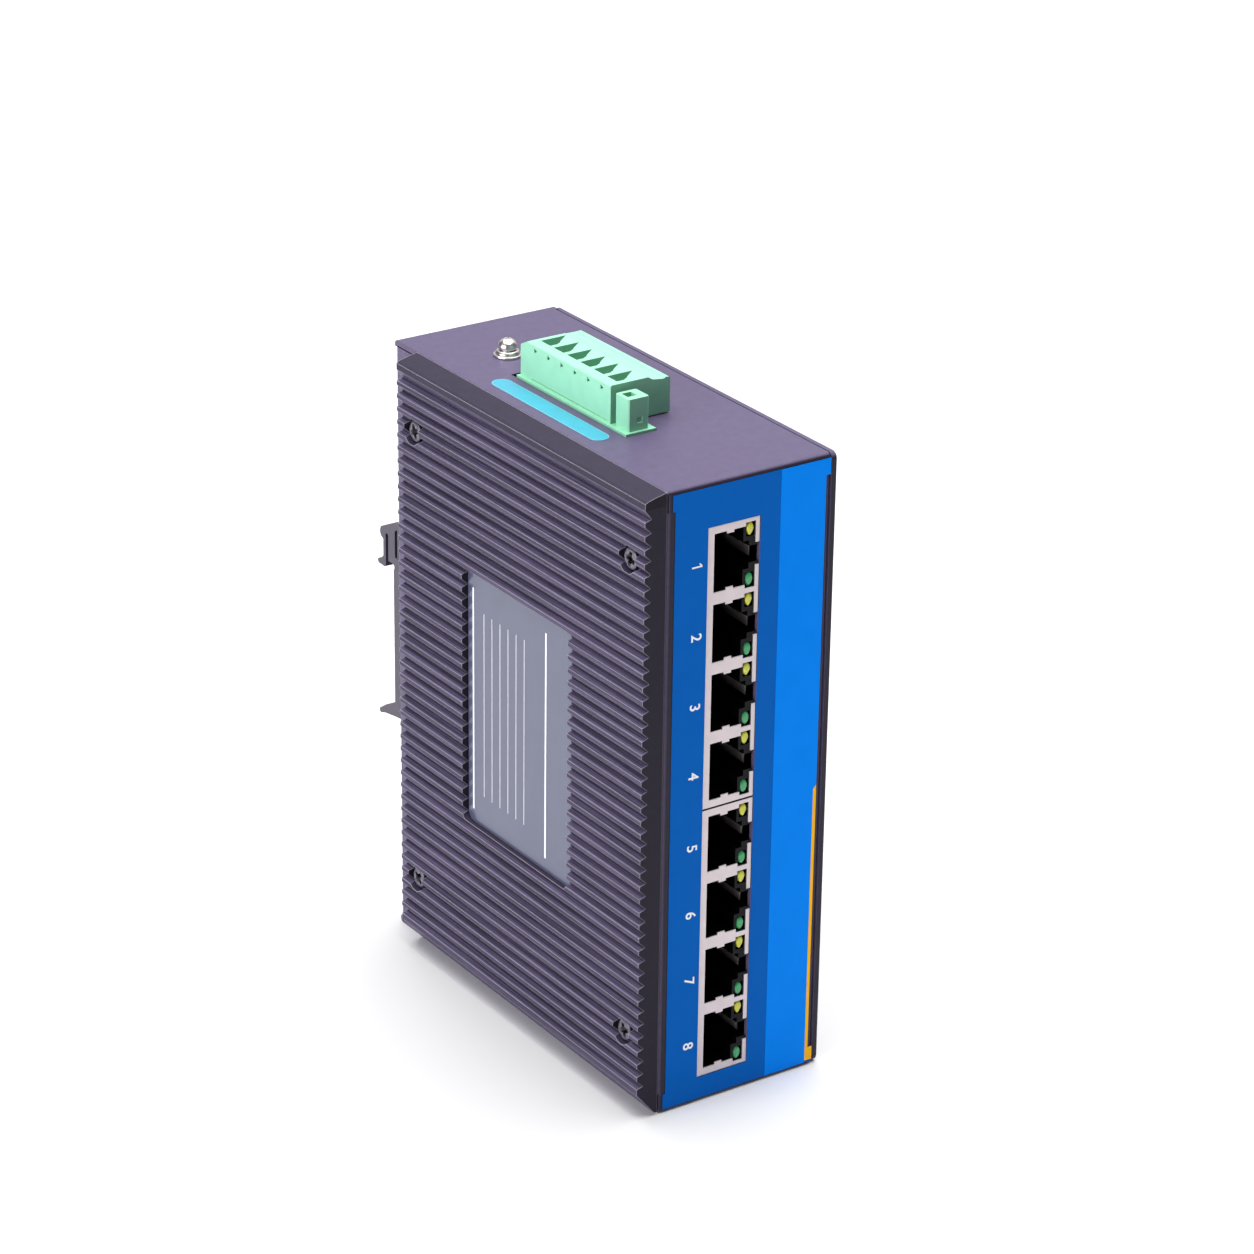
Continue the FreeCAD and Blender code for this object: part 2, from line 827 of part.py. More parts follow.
# TERMINAL PLUG
# The plug overhangs the case to the right, where the wires enter. Its top has
# a flat part with six screwdriver pockets, a shallow step and a low ridge. In
# each pole a screw draws up a square brass cage that grips the wire.
plug_x0 = from_left(9.4)
plug_x1 = from_left(22.7)
plug_top = from_top(-8.0)
plug_outline = [
    (plug_x0, lip_top),
    (plug_x0, plug_top - 0.25),
    (plug_x0 + 0.25, plug_top),
    (from_left(17.7), plug_top),
    (from_left(18.8), plug_top - 0.65),
    (from_left(21.25), plug_top - 0.95),
    (from_left(21.6), plug_top - 0.7),
    (from_left(22.4), plug_top - 0.75),
    (plug_x1, plug_top - 0.95),
    (plug_x1, from_top(-0.3)),
    (header_right + 0.25, from_top(-0.3)),
    (header_right + 0.25, lip_top),
]
plug = prism_y(plug_outline, plug_front, plug_back)
rear_slope = [
    (plug_back - 2.5, plug_top),
    (plug_back + 1, plug_top - 1.8),
    (plug_back + 1, plug_top + 1),
    (plug_back - 2.5, plug_top + 1),
]
plug = plug.cut(prism_x(rear_slope, plug_x0 - 1, plug_x1 + 1))
foot_slot = box(
    plug_x0 - 1,
    plug_x0 + 0.25,
    plug_front + 1.4,
    plug_back - 4.0,
    lip_top + 0.25,
    lip_top + 0.45,
)
plug = plug.cut(foot_slot)
nose = box(nose_left, nose_right, nose_front, nose_back, nose_bottom, lip_top)
plug = plug.fuse(nose)
pocket_x0 = from_left(11.6)
pocket_x1 = from_left(17.3)
pocket_low = plug_top - 2.4
pocket_width = 3.3
cage_x0 = from_left(12.1)
cage_x1 = from_left(16.5)
cage_z0 = lip_top + 0.35
cage_z1 = cage_z0 + 3.6
cage_half = 1.6
cage_wall = 0.6
clamp_x = pocket_x0 + 1.9
clamp_radius = 0.9
clamp_head_radius = 1.2
clamp_head_height = 0.9
spring_thickness = 0.3
spring_low = nose_bottom + 1.5
cuts = []
cages = []
clamp_screws = []
for y in pin_y:
    pocket_back_y = y + pocket_width / 2
    pocket_front_y = y - pocket_width / 2
    pocket_outline = [
        (pocket_x0, pocket_back_y),
        (pocket_x0, pocket_front_y),
        (pocket_x0 + 1.6, pocket_front_y),
        (pocket_x1, pocket_back_y),
    ]
    cuts.append(prism_z(pocket_outline, pocket_low, plug_top + 1))
    cuts.append(bar(V(clamp_x, y, cage_z1), clamp_head_radius + 0.1, 4, UP))
    window = [
        (y + 0.45, plug_top - 1.7),
        (y - 0.5, plug_top - 1.2),
        (y + 0.45, plug_top - 0.75),
    ]
    cuts.append(prism_x(window, plug_x0 - 1, plug_x0 + 0.8))
    cuts.append(box(upright - 0.6, upright + 0.85, y - 0.6, y + 0.6, nose_bottom - 1, cage_z0))
    cuts.append(box(cage_x0, cage_x1, y - cage_half, y + cage_half, cage_z0, cage_z1))
    wire_z0 = cage_z0 + cage_wall
    wire_z1 = cage_z1 - cage_wall
    cuts.append(box(cage_x1 - 1, plug_x1 + 1, y - 1.1, y + 1.1, wire_z0, wire_z1))
    cage = box(cage_x0, cage_x1, y - cage_half, y + cage_half, cage_z0, cage_z1)
    cage = cage.cut(box(cage_x0 - 1, cage_x1 + 1, y - 1.1, y + 1.1, wire_z0, wire_z1))
    cage = cage.cut(bar(V(clamp_x, y, wire_z1 - 1), clamp_radius, 3, UP, 6))
    spring_x = upright + pin / 2
    spring = box(spring_x, spring_x + spring_thickness, y - 0.5, y + 0.5, spring_low, cage_z0)
    cages.append(cage.fuse(spring).removeSplitter())
    bolt = bar(V(clamp_x, y, wire_z1 - 0.8), clamp_radius, cage_z1 - wire_z1 + 0.8, UP, 6)
    bolt_head = bar(V(clamp_x, y, cage_z1), clamp_head_radius, clamp_head_height, UP)
    slot_low = cage_z1 + clamp_head_height - 0.45
    slot = box(clamp_x - 2, clamp_x + 2, y - 0.25, y + 0.25, slot_low, slot_low + 1)
    clamp_screws.append(bolt.fuse(bolt_head).removeSplitter().cut(slot))
plug = plug.cut(cuts).removeSplitter()
save(plug, "terminal_plug")
save(group(cages), "wire_cages")
save(group(clamp_screws), "wire_screws")

# EARTH SCREW
# A bright domed screw with a flat washer and a cupped lock washer. It goes
# into a nut pressed under the case top.
washer_top = from_top(-0.5)
cup_top = washer_top + 0.75
earth_foot = V(earth_x, earth_y, case_height)
shank_hole = bar(V(earth_x, earth_y, from_top(6)), clear_radius, 12, UP)
washer = turned([(2.85, 0), (2.85, washer_top - case_height)], earth_foot, UP)
save(washer.cut(shank_hole), "earth_washer")
cup = turned([(2.45, 0), (2.0, cup_top - washer_top)], V(earth_x, earth_y, washer_top), UP)
save(cup.cut(shank_hole), "earth_lock_washer")
head_radius = 1.95
rim = 0.35
dome_height = 1.65
rings = [(head_radius - 0.1, 0)]
for degrees in (0, 28, 52, 76):
    turn = math.radians(degrees)
    rings.append((head_radius * math.cos(turn), rim + dome_height * math.sin(turn)))
head_low = cup_top + 0.35
dome = turned(rings, V(earth_x, earth_y, head_low), UP)
shank_low = from_top(6.2)
shank = bar(V(earth_x, earth_y, shank_low), screw_radius, head_low - shank_low, UP)
save(joined([dome, shank]), "earth_screw")
save(press_nut(V(earth_x, earth_y, from_top(sheet)), DOWN), "earth_nut")

# RAIL CLIP
# One aluminium extrusion as wide as the case. A hollow rib and a hanging lip
# above make the slot for the rail's top edge, and a wedge below takes the
# bottom edge. Two countersunk screws hold it.
clip_left = from_left(0.55)
clip_right = from_left(case_width - 0.55)


def at_rail(out, up):
    """A point of the section, from the case's back and the rail's middle."""
    return (case_back + out, rail_z + up)


clip_outline = [
    at_rail(0, -21.05),
    at_rail(2.1, -21.3),
    at_rail(6.2, -22.0),
    at_rail(8.0, -22.6),
    at_rail(8.5, -22.4),
    at_rail(8.45, -21.7),
    at_rail(6.0, -20.05),
    at_rail(2.37, -18.15),
    at_rail(2.37, 10.95),
    at_rail(2.05, 11.45),
    at_rail(2.2, 11.95),
    at_rail(2.7, 12.2),
    at_rail(4.35, 12.2),
    at_rail(4.35, 17.75),
    at_rail(4.6, 18.0),
    at_rail(5.15, 18.0),
    at_rail(5.4, 17.75),
    at_rail(5.4, 10.75),
    at_rail(5.8, 10.5),
    at_rail(8.1, 10.55),
    at_rail(8.55, 11.0),
    at_rail(8.3, 11.5),
    at_rail(7.0, 12.05),
    at_rail(6.3, 12.75),
    at_rail(6.3, 16.4),
    at_rail(7.2, 16.8),
    at_rail(7.6, 17.7),
    at_rail(7.2, 18.8),
    at_rail(5.6, 19.6),
    at_rail(0, 22.25),
]
clip = prism_x(clip_outline, clip_left, clip_right)
chamber = [
    at_rail(0.85, 13.85),
    at_rail(1.85, 13.85),
    at_rail(1.85, 19.55),
    at_rail(0.85, 20.05),
]
clip = clip.cut(prism_x(chamber, clip_left - 1, clip_right + 1))
screws = []
nuts = []
clip_face = case_back + 2.37
for x in clip_screw_x:
    face = V(x, clip_face, clip_screw_z)
    clip = clip.cut(turned([(3.1, 0), (clear_radius, 1.5)], face, FRONT))
    clip = clip.cut(bar(face, clear_radius, 6, FRONT))
    screws.append(flat_screw(face, BACK, 3.1 - fit, 1.5, 4.4))
    nuts.append(press_nut(V(x, case_back - sheet, clip_screw_z), FRONT))
save(clip, "rail_clip")
save(group(screws), "clip_screws")
save(group(nuts), "clip_nuts")
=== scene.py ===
import math

import bmesh
import bpy
from mathutils import Matrix, Quaternion, Vector


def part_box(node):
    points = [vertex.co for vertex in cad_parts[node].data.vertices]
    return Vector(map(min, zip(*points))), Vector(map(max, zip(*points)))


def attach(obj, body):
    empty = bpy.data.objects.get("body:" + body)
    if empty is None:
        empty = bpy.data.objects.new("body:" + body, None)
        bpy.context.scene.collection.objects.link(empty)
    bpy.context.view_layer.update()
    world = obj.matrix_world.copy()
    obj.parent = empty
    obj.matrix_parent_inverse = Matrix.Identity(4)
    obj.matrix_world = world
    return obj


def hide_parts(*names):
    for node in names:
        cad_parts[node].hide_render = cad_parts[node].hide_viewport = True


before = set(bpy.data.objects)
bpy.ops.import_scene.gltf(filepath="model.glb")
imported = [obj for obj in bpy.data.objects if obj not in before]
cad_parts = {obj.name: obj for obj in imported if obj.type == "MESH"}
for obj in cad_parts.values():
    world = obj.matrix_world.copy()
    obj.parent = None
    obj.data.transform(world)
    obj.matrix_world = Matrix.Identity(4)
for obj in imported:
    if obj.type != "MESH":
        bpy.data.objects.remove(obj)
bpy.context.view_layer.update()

# CASE
# The case is one sheet of steel folded into front, top, back and bottom. It is
# powder coated in a dark violet grey, with fine flecks and an orange peel skin.
mm = 0.001
noise_low = 0.3
noise_high = 0.7


def add_node(finish, kind, inputs, **traits):
    """Adds a node to a finish. Each input is a plain value or the output of
    another node, and the traits are the node's own settings."""
    node = finish.node_tree.nodes.new("ShaderNode" + kind)
    for trait, setting in traits.items():
        setattr(node, trait, setting)
    for socket, value in inputs.items():
        if isinstance(value, bpy.types.NodeSocket):
            finish.node_tree.links.new(value, node.inputs[socket])
        else:
            node.inputs[socket].default_value = value
    return node


def shader_of(finish):
    """The shader that every finish is painted on."""
    return finish.node_tree.nodes["Principled BSDF"]


def bare_finish(name, colour, roughness, traits=None):
    """A new finish of one colour. The traits are further inputs of its shader,
    such as how far it is a metal."""
    finish = bpy.data.materials.new(name)
    finish.use_nodes = True
    finish.diffuse_color = (*colour, 1)
    shader = shader_of(finish)
    shader.inputs["Base Color"].default_value = (*colour, 1)
    shader.inputs["Roughness"].default_value = roughness
    for socket, value in (traits or {}).items():
        shader.inputs[socket].default_value = value
    return finish


def grain(finish, size, stretch=(1, 1, 1)):
    """Noise that sticks to the piece, with spots of about this size. A stretch
    under one along an axis draws the spots out along it."""
    place = add_node(finish, "TexCoord", {})
    drawn = add_node(
        finish, "Mapping", {"Scale": stretch, "Vector": place.outputs["Object"]}
    )
    spots = {"Vector": drawn.outputs["Vector"], "Scale": 1 / size, "Detail": 2.0}
    return add_node(finish, "TexNoise", spots).outputs["Fac"]


def between(finish, value, low, high, at_low=0.0, at_high=1.0):
    """Runs evenly from one number at the low value to another at the high one."""
    ends = {"From Min": low, "From Max": high, "To Min": at_low, "To Max": at_high}
    return add_node(finish, "MapRange", {"Value": value, **ends}).outputs["Result"]


def cosine(finish, first, second):
    """The cosine of the angle between two directions."""
    sides = {0: first, 1: second}
    product = add_node(finish, "VectorMath", sides, operation="DOT_PRODUCT")
    return product.outputs["Value"]


def drift(finish, colour, size, spread):
    """The colour, a little darker here and lighter there."""
    ramp = add_node(finish, "ValToRGB", {"Fac": grain(finish, size)})
    dark, light = ramp.color_ramp.elements
    dark.position = noise_low
    light.position = noise_high
    dark.color = (*[c * (1 - spread) for c in colour], 1)
    light.color = (*[c * (1 + spread) for c in colour], 1)
    return ramp.outputs["Color"]


def edge_tint(finish, colour, highlight_colour, width, amount=1.0):
    """Painted highlight: the colour, turning to a lighter one where the surface breaks
    over an edge.
    """
    least_turn = 0.995
    full_turn = 0.80
    rounded = add_node(finish, "Bevel", {"Radius": width}, samples=8)
    flat = add_node(finish, "NewGeometry", {})
    turned = cosine(finish, rounded.outputs["Normal"], flat.outputs["Normal"])
    share = between(finish, turned, least_turn, full_turn, 0.0, amount)
    blend = {"Factor": share, "A": colour, "B": (*highlight_colour, 1)}
    return add_node(finish, "Mix", blend, data_type="RGBA").outputs["Result"]


def scale_by(finish, colour, value, low, high, at_low, at_high):
    """The colour, made darker or lighter as the value goes from low to high."""
    strength = between(finish, value, low, high, at_low, at_high)
    factors = {0: colour, "Scale": strength}
    scaled = add_node(finish, "VectorMath", factors, operation="SCALE")
    return scaled.outputs["Vector"]


def facing(finish, direction, least, full):
    """How far a face looks in a direction: 0 up to the least cosine, 1 from the
    full one on."""
    surface = add_node(finish, "NewGeometry", {})
    turned = cosine(finish, surface.outputs["Normal"], direction)
    return between(finish, turned, least, full)


def fleck(finish, colour, size, spread):
    """The colour with fine flecks in it."""
    spots = grain(finish, size)
    return scale_by(
        finish, colour, spots, noise_low, noise_high, 1 - spread, 1 + spread
    )


def dark_hollows(finish, colour, depth, darkest):
    """Painted shade: the colour, darker down in grooves and corners of about this
    depth.
    """
    shut = 0.30
    clear = 0.75
    openness = add_node(finish, "AmbientOcclusion", {"Distance": depth}, samples=6)
    return scale_by(finish, colour, openness.outputs["AO"], shut, clear, darkest, 1.0)


def on_faces(finish, colour, direction, strength):
    """Painted light and shade: the colour, made darker or lighter on the faces that
    look one way.
    """
    least = 0.75
    full = 0.97
    share = facing(finish, direction, least, full)
    return scale_by(finish, colour, share, 0.0, 1.0, 1.0, strength)


def paint(finish, colour):
    """Puts a worked out colour on the finish."""
    finish.node_tree.links.new(colour, shader_of(finish).inputs["Base Color"])


def rough_up(finish, size, height, edge, stretch=(1, 1, 1)):
    """Fine relief, over edges that catch the light as if broken by this much."""
    broken_edge = add_node(finish, "Bevel", {"Radius": edge}, samples=6)
    relief = add_node(
        finish,
        "Bump",
        {
            "Strength": 1.0,
            "Distance": height,
            "Height": grain(finish, size, stretch),
            "Normal": broken_edge.outputs["Normal"],
        },
    )
    finish.node_tree.links.new(
        relief.outputs["Normal"], shader_of(finish).inputs["Normal"]
    )


def coat(node, finish):
    """Gives a node of the frame its finish."""
    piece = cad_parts[node]
    for place in piece.material_slots:
        place.material = finish


to_front = (0, -1, 0)
case_grey = (0.124, 0.100, 0.184)
case_edge_highlight = (0.20, 0.18, 0.25)
case_coat = bare_finish("case_coat", case_grey, 0.42, {"Specular IOR Level": 0.18})
case_colour = drift(case_coat, case_grey, 1.8 * mm, 0.05)
case_colour = fleck(case_coat, case_colour, 0.2 * mm, 0.16)
# Painted highlight on the case's edges.
case_colour = edge_tint(case_coat, case_colour, case_edge_highlight, 0.16 * mm, 0.6)
# Painted shade: faces that look to the front are painted much darker.
case_colour = on_faces(case_coat, case_colour, to_front, 0.16)
paint(case_coat, case_colour)
rough_up(case_coat, 0.35 * mm, 0.010 * mm, 0.2 * mm)
coat("case_sheet", case_coat)

# FINNED SIDE PLATE
# The plate is an aluminium extrusion with forty-four sawtooth grooves. The die
# leaves fine streaks along the fins. The fin edges carry a painted highlight, the
# grooves painted shade, the sloping flanks and the ledges painted light, and the
# plain shoulder and the ends that look to the front painted shade.
plate_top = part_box("heat_sink")[1][2]
shoulder_height = 2.5 * mm
plate_grey = (0.070, 0.058, 0.102)
plate_edge_highlight = (0.50, 0.47, 0.55)
to_left = (-1, 0, 0)
# The flanks that slope down and the ledges get painted light, the plain shoulder
# painted shade; these gains say by how much.
slope_faces = (-0.72, 0, -0.69)
ledge_faces = (-0.306, 0, 0.952)
slope_painted_light = 1.4
ledge_painted_light = 1.9
shoulder_painted_shade = 0.55


def below_shoulder(finish):
    """1 on the grooved part of the plate, 0 on the plain shoulder above it."""
    shoulder_foot = plate_top - shoulder_height
    fade = 0.1 * mm
    surface = add_node(finish, "NewGeometry", {})
    split = add_node(finish, "SeparateXYZ", {0: surface.outputs["Position"]})
    return between(finish, split.outputs["Z"], shoulder_foot, shoulder_foot - fade)


def on_grooves(finish, direction, least, full):
    """How far a face looks in a direction, nil on the shoulder."""
    shares = {0: facing(finish, direction, least, full), 1: below_shoulder(finish)}
    return add_node(finish, "Math", shares, operation="MULTIPLY").outputs["Value"]


def die_streaks(finish, colour, size, spread):
    """The colour with streaks that run along the fins, on their flanks only."""
    along_fins = (1, 0.01, 1)
    faint = 0.38
    strong = 0.62
    no_streak = (faint + strong) / 2
    flanks = on_grooves(finish, to_left, 0.15, 0.28)
    streaks = grain(finish, size, along_fins)
    blend = {"Factor": flanks, "A": no_streak, "B": streaks}
    shown = add_node(finish, "Mix", blend).outputs["Result"]
    return scale_by(finish, colour, shown, faint, strong, 1 - spread, 1 + spread)


plate_coat = bare_finish("plate_coat", plate_grey, 0.5, {"Specular IOR Level": 0.12})
plate_colour = drift(plate_coat, plate_grey, 2.5 * mm, 0.05)
plate_colour = die_streaks(plate_coat, plate_colour, 0.36 * mm, 0.36)
plate_colour = fleck(plate_coat, plate_colour, 0.2 * mm, 0.15)
# Painted light on the flanks that slope down and on the ledges, painted shade on the
# plain shoulder.
plate_colour = on_faces(plate_coat, plate_colour, slope_faces, slope_painted_light)
ledges = on_grooves(plate_coat, ledge_faces, 0.965, 0.990)
plate_colour = scale_by(plate_coat, plate_colour, ledges, 0.0, 1.0, 1.0, ledge_painted_light)
grooved = below_shoulder(plate_coat)
plate_colour = scale_by(
    plate_coat, plate_colour, grooved, 0.0, 1.0, shoulder_painted_shade, 1.0
)
# Painted highlight on the fin edges, painted shade in the grooves and on the ends that
# look to the front.
plate_colour = edge_tint(plate_coat, plate_colour, plate_edge_highlight, 0.28 * mm)
plate_colour = dark_hollows(plate_coat, plate_colour, 0.5 * mm, 0.12)
plate_colour = on_faces(plate_coat, plate_colour, to_front, 0.28)
paint(plate_coat, plate_colour)
rough_up(plate_coat, 0.35 * mm, 0.010 * mm, 0.1 * mm)
coat("heat_sink", plate_coat)

# FIXING SCREWS
# Steel screws with a pressed cross recess. Low pan heads sunk in bores hold the
# finned plate, and countersunk heads hold the right cover and the rail clip.
thread_pitch = 0.5 * mm
thread_depth = 0.24 * mm
screw_radius = 1.5 * mm
crest_gap = 0.02 * mm
blunt_end = 0.6
first_turn = 17
next_turn = 61
same_point = 1e-7


def revolve(profile, steps):
    """A mesh turned about Z from (radius, height) points. It is closed if they
    start and end on the axis, or at one and the same point."""
    turned = bmesh.new()
    rings = []
    for radius, height in profile:
        if radius < same_point:
            rings.append([turned.verts.new((0, 0, height))])
            continue
        ring = []
        for step in range(steps):
            angle = 2 * math.pi * step / steps
            x = radius * math.cos(angle)
            y = radius * math.sin(angle)
            ring.append(turned.verts.new((x, y, height)))
        rings.append(ring)
    for lower, upper in zip(rings, rings[1:]):
        for step in range(steps):
            following = (step + 1) % steps
            corners = [lower[step % len(lower)], lower[following % len(lower)]]
            corners += [upper[following % len(upper)], upper[step % len(upper)]]
            face = []
            for corner in corners:
                if corner not in face:
                    face.append(corner)
            turned.faces.new(face)
    bmesh.ops.recalc_face_normals(turned, faces=turned.faces)
    for face in turned.faces:
        face.smooth = True
    return turned


def keep_mesh(shape, name):
    """Turns the working mesh into an object of the scene."""
    mesh = bpy.data.meshes.new(name)
    shape.to_mesh(mesh)
    shape.free()
    piece = bpy.data.objects.new(name, mesh)
    bpy.context.collection.objects.link(piece)
    return piece


def close_up(shape, upper, lower):
    """Closes a shape between two rings of corners: both ends, then its sides."""
    shape.faces.new(upper)
    shape.faces.new(lower[::-1])
    count = len(upper)
    for i in range(count):
        j = (i + 1) % count
        shape.faces.new((upper[i], lower[i], lower[j], upper[j]))
    bmesh.ops.recalc_face_normals(shape, faces=shape.faces)


def cross_recess(reach, half_arm, depth):
    """The tapered plus that the driver's tip presses into a head, point down.
    Mouth and point say how long and wide its arms are there, and how high."""
    mouth = (1.1, 1.0, 0.1 * mm)
    point = (0.45, 0.7, -depth)
    inner_corner = 1.35
    tip = bmesh.new()
    loops = []
    for arm_share, half_share, height in (mouth, point):
        arm = reach * arm_share
        half = half_arm * half_share
        flank = half * inner_corner
        corners = []
        for quarter in range(4):
            turn = Matrix.Rotation(quarter * math.pi / 2, 3, "Z")
            for x, y in ((flank, -flank), (arm, -half), (arm, half)):
                corners.append(tip.verts.new(turn @ Vector((x, y, height))))
        loops.append(corners)
    close_up(tip, loops[0], loops[1])
    return tip


def head_and_thread(head, length):
    """The screw's outline: its head, then ridges down to a blunt end."""
    outline = list(head)
    height = head[-1][1]
    end = height - length
    outline.append((screw_radius - thread_depth, height))
    while height - thread_pitch > end:
        outline.append((screw_radius - crest_gap, height - thread_pitch / 2))
        height -= thread_pitch
        outline.append((screw_radius - thread_depth, height))
    outline.append((screw_radius * blunt_end, end))
    outline.append((0, end))
    return outline


def cross_head_screw(head, length, reach, half_arm, depth, steps=48):
    """One screw whose crown is at the origin and whose shank points down."""
    blank = keep_mesh(revolve(head_and_thread(head, length), steps), "screw_blank")
    punch = keep_mesh(cross_recess(reach, half_arm, depth), "recess_punch")
    pressed = blank.modifiers.new("recess", "BOOLEAN")
    pressed.operation = "DIFFERENCE"
    pressed.solver = "EXACT"
    pressed.object = punch
    shown = bpy.context.evaluated_depsgraph_get()
    shown.update()
    screw = bmesh.new()
    screw.from_mesh(blank.evaluated_get(shown).to_mesh())
    for face in screw.faces:
        middle = face.calc_center_median()
        beside_recess = math.hypot(middle.x, middle.y) > reach * 0.98
        face.smooth = beside_recess or abs(middle.z) > depth
    bpy.data.objects.remove(blank)
    bpy.data.objects.remove(punch)
    return screw


def set_of_screws(name, screw, crowns, axis, finish):
    """One object with a copy of the screw at each crown, pointing along axis.
    The recesses stand at odd angles, as a driver leaves them."""
    turn = Vector(axis).to_track_quat("Z", "X").to_matrix().to_4x4()
    pattern = bpy.data.meshes.new(name + "_pattern")
    screw.to_mesh(pattern)
    screw.free()
    together = bmesh.new()
    for number, crown in enumerate(crowns):
        angle = math.radians(first_turn + next_turn * number)
        copy = pattern.copy()
        spin = Matrix.Rotation(angle, 4, "Z")
        copy.transform(Matrix.Translation(crown) @ turn @ spin)
        together.from_mesh(copy)
    piece = keep_mesh(together, name)
    piece.data.materials.append(finish)
    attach(piece, "root")
    return piece


def corner_crowns(low, high, radius, crown_x):
    """Where the crowns of four screws lie, in the corners of their box."""
    crowns = []
    for y in (low[1] + radius, high[1] - radius):
        for z in (low[2] + radius, high[2] - radius):
            crowns.append((crown_x, y, z))
    return crowns


def plated_steel(name, colour, roughness, spread=0.08):
    """A bare metal, a little uneven in colour."""
    finish = bare_finish(name, colour, roughness, {"Metallic": 1.0})
    paint(finish, drift(finish, colour, 0.8 * mm, spread))
    rough_up(finish, 0.3 * mm, 0.003 * mm, 0.1 * mm)
    return finish


def black_zinc(name, crown_x, inward):
    """Steel dyed black, with a painted highlight on its edges and painted shade down
    in the recess. Inward is 1 where the recess runs to the right of the crown, and
    -1 where it runs to the left."""
    grey = (0.11, 0.095, 0.14)
    zinc_edge_highlight = (0.50, 0.48, 0.55)
    finish = bare_finish(name, grey, 0.30, {"Metallic": 0.3, "Coat Weight": 0.3})
    place = add_node(finish, "TexCoord", {})
    split = add_node(finish, "SeparateXYZ", {0: place.outputs["Object"]})
    colour = drift(finish, grey, 0.7 * mm, 0.1)
    # Painted highlight on the head's edges.
    colour = edge_tint(finish, colour, zinc_edge_highlight, 0.12 * mm, 0.8)
    # Painted shade: the recess is painted nearly black from just under the crown down.
    below = crown_x + inward * 0.12 * mm
    bottom = crown_x + inward * 0.45 * mm
    colour = scale_by(finish, colour, split.outputs["X"], below, bottom, 1.0, 0.03)
    paint(finish, colour)
    rough_up(finish, 0.3 * mm, 0.003 * mm, 0.12 * mm)
    return finish


zinc = plated_steel("zinc", (0.60, 0.60, 0.63), 0.32)

seat_radius = 2.35 * mm
pan_radius = 2.2 * mm
pan_height = 1.1 * mm
pan_sunk = 0.55 * mm
pan_head = [
    (0, 0),
    (pan_radius * 0.70, -0.02 * mm),
    (pan_radius * 0.84, -0.08 * mm),
    (pan_radius * 0.94, -0.22 * mm),
    (pan_radius * 0.99, -0.42 * mm),
    (pan_radius, -0.60 * mm),
    (pan_radius, -pan_height),
]
low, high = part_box("heat_sink_screws")
crown_x = low[0] + pan_sunk
crowns = corner_crowns(low, high, seat_radius, crown_x)
length = high[0] - low[0] - pan_sunk - pan_height
screw = cross_head_screw(
    pan_head, length, reach=1.5 * mm, half_arm=0.46 * mm, depth=1.0 * mm
)
finish = black_zinc("plate_screw_zinc", crown_x, 1)
piece = set_of_screws("plate_screws", screw, crowns, (-1, 0, 0), finish)
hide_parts("heat_sink_screws")


def flat_head(radius, height):
    """The outline of a countersunk head with a thin rim."""
    rim = 0.1 * mm
    return [(0, 0), (radius - rim, -0.01 * mm), (radius, -rim), (screw_radius, -height)]


cover_radius = 2.65 * mm
cover_height = 1.1 * mm
low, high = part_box("cover_screws")
crowns = corner_crowns(low, high, cover_radius, high[0])
length = high[0] - low[0] - cover_height
head = flat_head(cover_radius, cover_height)
screw = cross_head_screw(
    head, length, reach=1.45 * mm, half_arm=0.34 * mm, depth=1.25 * mm
)
finish = black_zinc("cover_screw_zinc", high[0], -1)
piece = set_of_screws("right_cover_screws", screw, crowns, (1, 0, 0), finish)
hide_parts("cover_screws")

clip_radius = 2.95 * mm
clip_height = 1.5 * mm
low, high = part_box("clip_screws")
crowns = []
for x in (low[0] + clip_radius, high[0] - clip_radius):
    crowns.append((x, high[1], (low[2] + high[2]) / 2))
length = high[1] - low[1] - clip_height
head = flat_head(clip_radius, clip_height)
screw = cross_head_screw(
    head, length, reach=1.6 * mm, half_arm=0.36 * mm, depth=1.4 * mm
)
piece = set_of_screws("rail_clip_screws", screw, crowns, (0, 1, 0), zinc)
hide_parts("clip_screws")

for node in ("heat_sink_nuts", "cover_nuts", "clip_nuts"):
    coat(node, zinc)

# CIRCUIT BOARD
# The board is glass fibre with a green solder mask, on four steel spacers. The
# chips are black mouldings, and the cans and the heat block are aluminium.


def moulded(name, colour, roughness):
    """A moulded or lacquered skin, nearly even in colour."""
    finish = bare_finish(name, colour, roughness)
    paint(finish, drift(finish, colour, 1.5 * mm, 0.04))
    rough_up(finish, 0.3 * mm, 0.0015 * mm, 0.1 * mm)
    return finish


solder_mask = moulded("solder_mask", (0.015, 0.16, 0.06), 0.3)
package_black = moulded("package_black", (0.016, 0.016, 0.017), 0.5)
bare_aluminium = plated_steel("bare_aluminium", (0.72, 0.72, 0.73), 0.38)
soft_pad = moulded("soft_pad", (0.42, 0.48, 0.55), 0.7)
disc_lacquer = moulded("disc_lacquer", (0.03, 0.1, 0.42), 0.3)
coat("circuit_board", solder_mask)
for node in ("board_screws", "board_spacers"):
    coat(node, zinc)
for node in ("switch_chip", "memory_chip", "power_chip"):
    coat(node, package_black)
for node in ("line_transformers", "power_inductor"):
    coat(node, package_black)
for node in ("heat_block", "capacitors", "crystal"):
    coat(node, bare_aluminium)
coat("thermal_pad", soft_pad)
coat("surge_disc", disc_lacquer)

